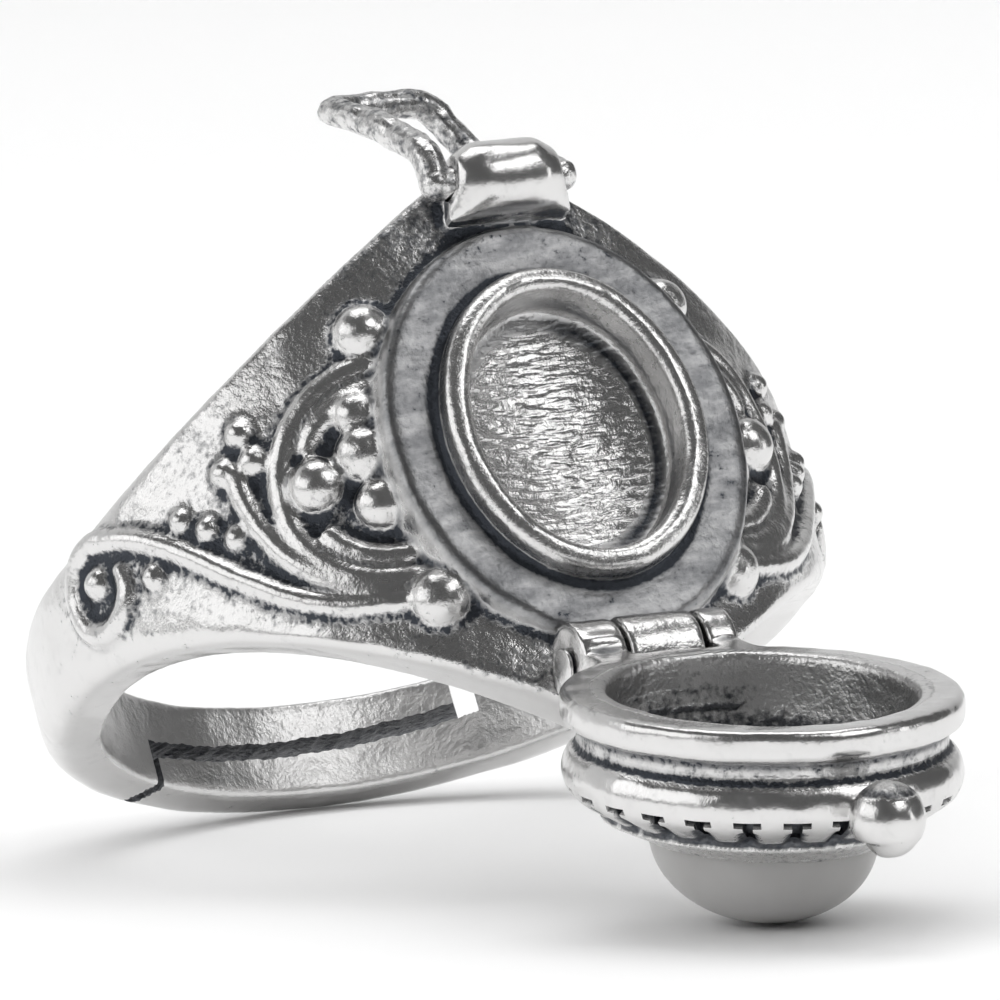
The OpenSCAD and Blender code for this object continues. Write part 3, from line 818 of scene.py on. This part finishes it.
# Wear of the lid, worked out while it is still closed and in place
def dullLid(obj):
    wear = lidWear
    long, wide = lidForm["halfLength"], lidForm["halfWidth"]
    local = inLid(obj)
    height = local[:, 2]
    share = np.maximum(np.hypot(local[:, 0] / wide, local[:, 1] / long), 1e-6)
    rows = beadRows()
    skin = np.interp(height, [row[2] for row in rows], [wide - row[1] for row in rows])
    sunk = (1 / share - 1) * np.hypot(local[:, 0], local[:, 1]) - skin
    outer = share > wear["outer"]
    onBead = (height > grooveTop + wear["stampBelow"]) & (height < beadTop + wear["stampAbove"])
    stamped = ease(sunk, *wear["stamp"]) * (onBead & (sunk < wear["stampReach"]) & outer)
    old = readOut(obj.data.attributes["cavity"].data, "value", 1)[:, 0]
    obj.data.attributes.remove(obj.data.attributes["cavity"])
    high = height - grooveTop
    groove = ease(height - lidForm["rim"], *wear["grooveLow"]) * (1 - ease(high, *wear["grooveHigh"])) * outer
    seam = ease(high, *wear["seamLow"]) * (1 - ease(high, *wear["seamHigh"])) * outer
    within = (share < wear["within"]) & (height < hollowTop + wear["withinAbove"])
    collet = ease(height - beadTop, *wear["collet"])
    floor = ease(height, *wear["floor"]) * ease(share, *wear["floorSide"])
    patina, rough = wear["patina"], wear["rough"]
    grey = patina["groove"] * groove + patina["seam"] * seam + patina["collet"] * collet
    dull = within * rough["within"] + rough["groove"] * groove + rough["collet"] * collet
    writeMarks(obj, cavity=np.maximum(old * wear["old"], stamped * wear["stampStrength"]),
               patina=grey + within * (patina["within"] + patina["floor"] * floor), inside=dull)


def stoneVisual():
    form = stoneForm
    long, wide = form["halfLength"], form["halfWidth"]
    foot = form["foot"]
    low = seatFloor + form["gap"]
    levels = [(long - foot, wide - foot, low), (long, wide, low + foot)]
    for step in range(form["steps"] + 1):
        turn = math.radians(form["lastTurn"]) * step / form["steps"]
        share = math.cos(turn)
        levels.append((long * share, wide * share, colletTop + form["dome"] * math.sin(turn)))
    return baked(ovalBody("stoneDome", levels, meshForm["innerSegments"]), opened @ lidBase)


pinForm = {
    "diameter": 0.7, "head": 1.0, "headThick": 0.1, "headEdge": 0.04, "play": 0.05,
    "cavity": (0.01, 0.05), "patina": 0.0,
}


def pinVisual():
    form = pinForm
    start = hingeForm["barrel"] / 2 + form["play"]
    end = start + form["headThick"]
    reach = start + form["headThick"] / 2
    shaft = rod("pin", -reach, reach, form["diameter"])
    addTo(shaft, rod("head", -end, -start, form["head"], form["headEdge"]))
    addTo(shaft, rod("head", start, end, form["head"], form["headEdge"]))
    return baked(shaft, atHinge)


bailForm = {
    "wire": 0.88, "half": 1.9,
    "halfRight": 1.66,  # the axle is shorter on its right
    "rise": 3.9, "back": 3.4, "lean": 0.8, "leanLeft": 1.04, "ball": 0.98,
    "rightBall": 0.9,  # size of the right ball as a share of the left one
    "corner": 1.1, "cavity": (0.004, 0.02), "patina": 0.42,
    "skin": {"voxel": 0.05, "rounds": 3, "uneven": [(1.1, 0.2, 0.64), (0.35, 0.03, 0.6)]},
    # Points of each leg, as shares of the corner, the lean, the reach behind and the reach up
    "left": [(0, 0, 0, 0), (0, 0, 0.03, 0.21), (0, 0.1, 0.22, 0.43), (0, 0.35, 0.56, 0.72),
             (0.1, 0.85, 0.92, 0.97), (1, 1, 1, 1)],
    "right": [(0, 0, 0, 0), (0, 0, 0.22, 0.14), (0, 0.15, 0.6, 0.32), (0.1, 0.7, 0.92, 0.54),
              (0.3, 0.95, 1.04, 0.8), (1, 1, 1, 1)],
}


def bailVisual():
    form = bailForm
    corner = form["wire"] * form["corner"]

    def leg(rows, side, half, lean):
        return [(side * (half - inwards * corner) - leaned * lean, behind * form["back"], up * form["rise"])
                for inwards, leaned, behind, up in rows]
    path = leg(form["left"], -1, form["half"], form["leanLeft"])
    path += leg(form["right"], 1, form["halfRight"], form["lean"])[::-1]
    pieces = [wireBody("bow", smoothRows(path, 4), form["wire"], resolution=3),
              rod("axle", -form["half"], form["halfRight"], form["wire"])]
    for place, size in ((-form["half"], form["ball"]), (form["halfRight"], form["ball"] * form["rightBall"])):
        pieces.append(ball("ball", size / 2, (place, 0, 0)))
    return baked(castSkin(joined("bailWire", pieces), form["skin"]), atAxle)


ring = ringVisual()
print("ring modelled", len(ring.data.polygons))
lid = lidVisual()
print("lid modelled", len(lid.data.polygons))
stone = stoneVisual()
pin = pinVisual()
bail = bailVisual()
print("stone, pin and bail modelled", len(bail.data.polygons))


# Where each mark of wear and the painted shade on the ring begin and are full; heights in millimetres, turns
# in degrees
ringWearAndShade = {
    "rounds": 12, "cavity": (0.008, 0.045),
    # Lower border of the dark flank
    "borderTurns": (0, 12.5, 20, 27.5, 35, 44, 51, 59.5, 69, 79, 90),
    "borderHeights": (-7.6, -7.04, -6.3, -5.48, -4.34, -3.44, -2.91, -2.4, -1.78, -0.93, 0.16),
    "borderSoft": 0.3, "flank": (-0.25, -0.02), "flankEnd": (78, 92), "raised": (0.07, 0.2),
    "nearRounds": 90, "frontDepth": 0.4, "face": (0.98, 1.02), "faceTop": (0.04, 0.12),
    "cup": (0.9, 1.02), "cupTop": (0.1, 0.35), "shade": (0.84, 0.88), "shadeTop": (-0.35, -0.1),
    "shadeLeft": 0.45,  # strength on the cup's left; it is full from 1.5 to the right
    "shadeSide": (0, 1.5),
    "lip": 1.06,  # share of the cup where its lip ends
    "collarInner": 0.85, "collar": (-0.2, 0.3), "collarOuter": (1.32, 1.36), "top": 5.5,
    "clean": 0.8,  # how clean the raised ornament is below that height
    "halo": 0.25,
    # Each halo has its strength first
    "nearHalo": (0.36, 0.05, 0.45), "topHalo": (0.4, 4.2, 7), "footHalo": (0.3, 5, 6.5),
    "scrollHalo": (0.14, 68, 78), "scrollHeight": -0.9, "scrollClear": (0.4, 1.2), "bore": (0.03, 0.2),
    "collarRough": 0.3, "raisedRough": 0.05,
}


def strength(value, full, low, high):
    return full * ease(value, low, high)


# Marks of wear on the ring, with the painted shade round the cup's floor
def wearAndShadeOnRing(obj):
    wear = ringWearAndShade
    xyz = points(obj)
    across, out, height = xyz[:, 0] - ringForm["frontShift"], -xyz[:, 1], xyz[:, 2]
    radius = np.hypot(xyz[:, 0], xyz[:, 1])
    turn = np.abs(np.degrees(np.arctan2(xyz[:, 0], out)))
    border = np.interp(turn, wear["borderTurns"], wear["borderHeights"])
    flank = ease(radius - bandRadius, *wear["flank"]) * (1 - ease(turn, *wear["flankEnd"]))
    flank *= ease(height, border, border + wear["borderSoft"])
    raised = ease(radius - bandRadius, *wear["raised"])
    near = relaxed(raised[:, None], edgesOf(obj), wear["nearRounds"])[:, 0]
    front = out > ringForm["boreRadius"] + wear["frontDepth"]
    onFace = np.hypot(across / platformForm["halfWidth"], height / platformForm["halfLength"])
    face = (1 - ease(onFace, *wear["face"])) * front * (1 - ease(out - platformRadius, *wear["faceTop"]))
    wall = platformForm["collarWall"]
    inCup = np.hypot(across / (platformForm["collarHalfWidth"] - wall),
                     height / (platformForm["collarHalfLength"] - wall))
    cup = (1 - ease(inCup, *wear["cup"])) * front * (1 - ease(out - platformRadius, *wear["cupTop"]))
    # Painted shade: a dark line round the edge of the cup's floor, stronger towards the right, put into the
    # cavity mark
    shade = front * ease(inCup, *wear["shade"]) * (inCup < wear["lip"])
    shade *= wear["shadeLeft"] + (1 - wear["shadeLeft"]) * ease(across, *wear["shadeSide"])
    shade *= 1 - ease(out - bandRadius, *wear["shadeTop"])
    collar = front * (inCup > wear["collarInner"]) * ease(out - bandRadius, *wear["collar"])
    collar *= 1 - ease(inCup, *wear["collarOuter"])
    cavity = ease(hollowness(obj, wear["rounds"]), *wear["cavity"]) * (inCup > wear["lip"])
    halo = flank * (1 - np.where(height > wear["top"], 1, wear["clean"]) * raised) * (1 - face)
    patina = wear["halo"] + strength(near, *wear["nearHalo"]) + strength(height, *wear["topHalo"])
    patina += strength(-height, *wear["footHalo"])
    clear = ease(np.abs(height - wear["scrollHeight"]), *wear["scrollClear"])
    patina += strength(turn, *wear["scrollHalo"]) * clear
    inside = 1 - ease(radius - ringForm["boreRadius"], *wear["bore"])
    inside = np.maximum(inside, wear["collarRough"] * collar)
    inside = np.maximum(inside, wear["raisedRough"] * raised * (1 - face) * (height < wear["top"]))
    writeMarks(obj, cup=cup, cavity=np.maximum(cavity, shade), patina=halo * patina,
               face=face * (inCup > wear["lip"]), inside=inside)


# Where the split's walls reach; they are made rough and darkened with painted shade
splitRoughAndShade = {
    "slitReach": 0.08, "endReach": 0.01,
    "crackTurn": 1,  # degrees before the left end at which the crack has its middle
    "crackReach": 1.2, "crackUp": 0.2,
    "steepest": 0.6,  # a face that looks outwards more than this is no wall
}


# The walls of the split, marked to be rough and to take painted shade inside the narrow slit
def roughenAndShadeSplit(obj):
    form, wear = splitForm, splitRoughAndShade
    xyz, normal = facesOf(obj)
    degrees = np.mod(np.degrees(np.arctan2(xyz[:, 0], -xyz[:, 1])), 360)
    outward = (xyz[:, :2] * normal[:, :2]).sum(1) / np.hypot(xyz[:, 0], xyz[:, 1])
    left = 360 - form["leftStep"]
    along = (degrees - form["rightStep"]) / (left - form["rightStep"])
    line = form["slope"] * (0.5 - along)
    wall = np.abs(xyz[:, 2] - line) < form["slit"] / 2 + wear["slitReach"]
    wall &= (along > -wear["endReach"]) & (along < 1 + wear["endReach"])
    crack = np.abs(degrees - left + wear["crackTurn"]) < wear["crackReach"]
    wall |= crack & (xyz[:, 2] < line + wear["crackUp"])
    writeAttribute(obj, "cut", wall & (np.abs(outward) < wear["steepest"]), "FACE")


def dullPlain(obj, form):
    writeMarks(obj, cavity=ease(hollowness(obj, ringWearAndShade["rounds"]), *form["cavity"]), patina=form["patina"])


wearAndShadeOnRing(ring)
roughenAndShadeSplit(ring)
dullPlain(bail, bailForm)
dullPlain(pin, pinForm)
print("wear written")


# Materials
def maths(operation, reflected=False):
    def act(self, other):
        first, second = (other, self) if reflected else (self, other)
        return self.node("Math", {"operation": operation}, {0: first, 1: second})
    return act


class Value:
    def __init__(self, tree, source):
        self.tree = tree
        self.source = source

    # Any node: its type, its settings, then its sockets by name or by place
    def node(self, kind, settings, values, output=0):
        made = self.tree.nodes.new("ShaderNode" + kind)
        for key, value in settings.items():
            setattr(made, key, value)
        for key, value in values.items():
            socket = made.inputs[key]
            if isinstance(value, Value):
                self.tree.links.new(value.source, socket)
            else:
                socket.default_value = value
        return Value(self.tree, made.outputs[output] if made.outputs else made)

    __add__ = maths("ADD")
    __radd__ = maths("ADD", True)
    __sub__ = maths("SUBTRACT")
    __rsub__ = maths("SUBTRACT", True)
    __mul__ = maths("MULTIPLY")
    __rmul__ = maths("MULTIPLY", True)
    lowest = maths("MINIMUM")

    def ramp(self, low, high):
        return self.node("MapRange", {"interpolation_type": "SMOOTHSTEP"},
                         {"Value": self, "From Min": low, "From Max": high})


def newMaterial(name):
    material = bpy.data.materials.new(name)
    material.use_nodes = True
    tree = material.node_tree
    tree.nodes.clear()
    return material, Value(tree, None)


# Places on the object in millimetres
def placeOf(start):
    place = start.node("TexCoord", {}, {}, 3)
    return start.node("VectorMath", {"operation": "SCALE"}, {0: place, "Scale": 1000.0})


def noise(start, place, scale, detail, roughness):
    return start.node("TexNoise", {"noise_type": "FBM"},
                      {"Vector": place, "Scale": scale, "Detail": detail, "Roughness": roughness})


def measured(start, place, direction):
    return start.node("VectorMath", {"operation": "DOT_PRODUCT"}, {0: place, 1: direction}, 1)


def blend(start, share, low, high):
    return start.node("Mix", {"data_type": "RGBA"}, {0: share, 6: low, 7: high}, 2)


silverLook = {
    "bright": (0.76, 0.755, 0.75, 1), "dark": (0.035, 0.042, 0.055, 1),
    # Noises, each with its scale, detail and roughness
    "noises": {"broad": (0.4, 3.0, 0.55), "wave": (0.75, 1.0, 0.4), "fine": (5.5, 3.0, 0.6),
               "pit": (2.6, 4.0, 0.68)},
    "ridge": (1.0, 1.0, 0.4), "streak": (1.0, 4.0, 0.6), "ridgeScale": (1.5, 5.2),
    "streakScale": (0.6, 0.3, 1.5), "ridgeRamp": (0.35, 0.6), "streakRamp": (0.36, 0.64),
    # Tarnish spreads from spots as the patina grows
    "spots": (0.2, 0.5, 0.3), "spread": 0.34, "tarnish": (0.57, 0.8), "speck": (0.54, 0.66),
    # How dark each mark of wear and each painted shade is, some with a share that changes with a noise
    "tarnishDark": 0.85, "cavityDark": (0.75, 0.3), "speckDark": 0.05, "faceDark": (0.4, 0.2, 0.24),
    "cupDark": 0.14, "cutShade": (0.6, 0.5), "darkest": 0.96,
    # How rough the fine grain is, plain and under each mark of wear
    "grain": 0.15,
    "grains": {"patina": 1.1, "face": 0.2, "cavity": 0.6, "inside": 0.4, "cup": 0.3, "cut": 2.0},
    "gloss": 0.17,
    "dull": {"dark": 0.22, "inside": 0.1, "fine": 0.1},
    # Heights of the bumps in millimetres
    "rises": {"wave": 0.11, "grain": 0.05, "speck": 0.02, "cup": 0.09, "face": 0.015},
}


def silverMaterial(name, bump=1.0, pits=1.0):
    look = silverLook
    material, start = newMaterial(name)
    place = placeOf(start)
    marks = {key: start.node("Attribute", {"attribute_name": key}, {}, 2) for key in look["grains"]}
    cavity, patina, face = marks["cavity"], marks["patina"], marks["face"]
    inside, cup, cut = marks["inside"], marks["cup"], marks["cut"]
    broad, wave, fine, pit = (noise(start, place, *row) for row in look["noises"].values())
    # Directions across the plate, for the streaks of its face and the ridges on the floor of the cup
    upright = measured(start, place, (0, math.sin(lean), math.cos(lean)))
    sideways = measured(start, place, (1, 0, 0))
    aside, ahead = look["ridgeScale"]
    ridged = start.node("CombineXYZ", {}, {"X": sideways * aside, "Y": upright * ahead})
    aside, slanted, ahead = look["streakScale"]
    streaked = start.node("CombineXYZ", {}, {"X": sideways * aside - upright * slanted, "Y": upright * ahead})
    ridge = noise(start, ridged, *look["ridge"])
    streak = noise(start, streaked, *look["streak"])
    speck = pit.ramp(*look["speck"])
    broadShare, fineShare, pitShare = look["spots"]
    spots = broad * broadShare + fine * fineShare + pit * pitShare
    dark = (spots + patina * look["spread"]).ramp(*look["tarnish"]) * look["tarnishDark"]
    # The cavity mark darkens the oxide in hollows, and on the ring also the painted shade round the cup's
    # floor
    plain, mixed = look["cavityDark"]
    dark = dark + cavity * (plain + fine * mixed) + speck * (look["speckDark"] * pits)
    plain, mixed, grainy = look["faceDark"]
    dark = dark + face * (plain + streak.ramp(*look["streakRamp"]) * mixed + fine * grainy)
    dark = dark + cup * (1.0 - ridge.ramp(*look["ridgeRamp"])) * look["cupDark"]
    # Painted shade on the walls of the split, varied by the pit noise
    plain, mixed = look["cutShade"]
    dark = (dark + cut * (plain + pit * mixed)).lowest(look["darkest"])
    colour = blend(start, dark, look["bright"], look["dark"])
    grain = look["grain"]
    for key, share in look["grains"].items():
        grain = grain + marks[key] * share
    dull = look["dull"]
    roughness = look["gloss"] + dark * dull["dark"] + inside * dull["inside"] + fine * dull["fine"]
    rises = look["rises"]
    rise = wave * rises["wave"] + (fine + pit) * grain * rises["grain"] - speck * patina * rises["speck"]
    rise = rise + cup * ridge * rises["cup"] + face * streak * rises["face"]
    normal = start.node("Bump", {}, {"Strength": bump, "Distance": 0.001, "Height": rise})
    surface = start.node("BsdfPrincipled", {}, {
        "Base Color": colour, "Metallic": 1.0, "Roughness": roughness, "Normal": normal})
    start.node("OutputMaterial", {}, {"Surface": surface})
    return material


stoneLook = {
    "shadow": (0.4, 0.395, 0.39, 1), "light": (0.5, 0.495, 0.49, 1), "cloud": (0.5, 3.0, 0.55),
    "roughness": 0.3, "refraction": 1.45,
    "scatter": 0.0012,  # in metres
}


def stoneMaterial():
    look = stoneLook
    material, start = newMaterial("milkyStone")
    colour = blend(start, noise(start, placeOf(start), *look["cloud"]), look["shadow"], look["light"])
    surface = start.node("BsdfPrincipled", {}, {
        "Base Color": colour, "Roughness": look["roughness"], "IOR": look["refraction"],
        "Subsurface Weight": 1.0, "Subsurface Radius": (1.0, 1.0, 1.0), "Subsurface Scale": look["scatter"]})
    start.node("OutputMaterial", {}, {"Surface": surface})
    return material


def plainMaterial(name, colour, roughness):
    material, start = newMaterial(name)
    surface = start.node("BsdfPrincipled", {}, {"Base Color": colour, "Roughness": roughness})
    start.node("OutputMaterial", {}, {"Surface": surface})
    return material


silver = silverMaterial("antiqueSilver")
bailSilver = silverMaterial("wireSilver", bump=0.6, pits=3.0)
milky = stoneMaterial()


def finished(obj, name, material, body, node):
    obj.name = name
    obj.data.name = name
    baked(obj, layDown)
    obj.data.materials.clear()
    obj.data.materials.append(material)
    onlyThis(obj)
    bpy.ops.object.shade_smooth_by_angle(angle=math.radians(meshForm["smoothAngle"]))
    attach(obj, body)
    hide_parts(node)


finished(ring, "ring.cast", silver, "ring", "ring_body")
finished(pin, "hinge.pin", silver, "ring", "hinge_pin")
finished(lid, "lid.cast", silver, "lid", "lid")
finished(stone, "lid.stone", milky, "lid", "stone")
finished(bail, "bail.wire", bailSilver, "bail", "bail")
print("pieces placed")

# Stage, light and camera
studio = {
    "floorHeight": cadLow.z,
    "front": 1.5,  # reach of the floor towards the camera
    "back": 0.45,  # where the backdrop begins to rise
    "bend": 0.3,  # radius of that bend
    "wide": 3.2, "long": 3.4, "steps": (4, 120),
    "gap": 0.00002,  # the floor lies this far under the ring
    "floorColour": (0.92, 0.92, 0.92, 1), "floorRoughness": 0.7,
    "glow": 0.1,  # light of the surroundings above the floor
    # Softboxes: name, place, aim, width, height, brightness and whether the metal mirrors them
    "boxes": [
        ("floorLight", (0, 0.1, 0.9), (0, 0.1, 0), 3.0, 3.0, 0.88, False),
        ("boxLeft", (-0.5, 0.03, 0.22), (0, 0, 0), 0.6, 0.34, 1.15, True),
        ("boxFront", (0.22, -0.31, 0.4), (0, 0, 0), 0.3, 0.3, 1.7, True),
        ("boxRight", (0.5, -0.3, 0.1), (0, 0, 0), 0.14, 0.2, 1.5, True),
        ("boxTop", (0.05, 0.15, 0.6), (0, 0, 0), 0.5, 0.35, 1.8, True),
    ],
}


# A floor that bends up into a backdrop
def stageSheet():
    form = studio
    sideways, lengthways = form["steps"]
    bpy.ops.mesh.primitive_grid_add(x_subdivisions=sideways, y_subdivisions=lengthways, size=1)
    obj = added("studioFloor")
    flat = points(obj)
    along = (flat[:, 1] + 0.5) * form["long"] - form["front"]
    past = np.maximum(along - form["back"], 0)
    turn = np.minimum(past / form["bend"], math.pi / 2)
    rest = np.maximum(past - form["bend"] * math.pi / 2, 0)
    flat[:, 0] *= form["wide"]
    flat[:, 1] = np.minimum(along, form["back"]) + form["bend"] * np.sin(turn)
    flat[:, 2] = form["floorHeight"] - form["gap"] + form["bend"] * (1 - np.cos(turn)) + rest
    setPoints(obj, flat)
    onlyThis(obj)
    bpy.ops.object.shade_smooth()
    obj.data.materials.append(plainMaterial("paleFloor", form["floorColour"], form["floorRoughness"]))


# An area light whose face has the given brightness
def softbox(name, place, aim, wide, tall, brightness, mirrored):
    bpy.ops.object.light_add(type="AREA", location=place)
    obj = bpy.context.active_object
    obj.name = name
    obj.data.shape = "RECTANGLE"
    obj.data.size = wide
    obj.data.size_y = tall
    obj.data.energy = brightness * math.pi * wide * tall
    direction = Vector(aim) - Vector(place)
    obj.rotation_euler = direction.to_track_quat("-Z", "Y").to_euler()
    obj.visible_glossy = mirrored


stageSheet()
for box in studio["boxes"]:
    softbox(*box)

world = bpy.data.worlds.new("studioWorld")
bpy.context.scene.world = world
world.use_nodes = True
background = world.node_tree.nodes["Background"]
background.inputs["Color"].default_value = (1, 1, 1, 1)
background.inputs["Strength"].default_value = studio["glow"]

shot = {
    "place": (-0.13961, -0.31942, 0.04154), "aim": (0.002156, -0.000632, 0.002687), "roll": -2.998,
    "lens": 479.1, "sensor": 36, "nearest": 0.01, "farthest": 20,
}


def addCamera():
    bpy.ops.object.camera_add(location=shot["place"])
    obj = bpy.context.active_object
    obj.name = "photoCamera"
    ahead = (Vector(shot["aim"]) - Vector(shot["place"])).normalized()
    level = ahead.cross(Vector((0, 0, 1))).normalized()
    upright = level.cross(ahead)
    roll = math.radians(shot["roll"])
    right = level * math.cos(roll) + upright * math.sin(roll)
    up = right.cross(ahead)
    obj.matrix_world = Matrix.Translation(shot["place"]) @ Matrix((right, up, -ahead)).transposed().to_4x4()
    obj.data.lens = shot["lens"]
    obj.data.sensor_width = shot["sensor"]
    obj.data.clip_start = shot["nearest"]
    obj.data.clip_end = shot["farthest"]
    bpy.context.scene.camera = obj


addCamera()
bpy.context.scene.view_settings.view_transform = "Standard"
print("light and camera placed")
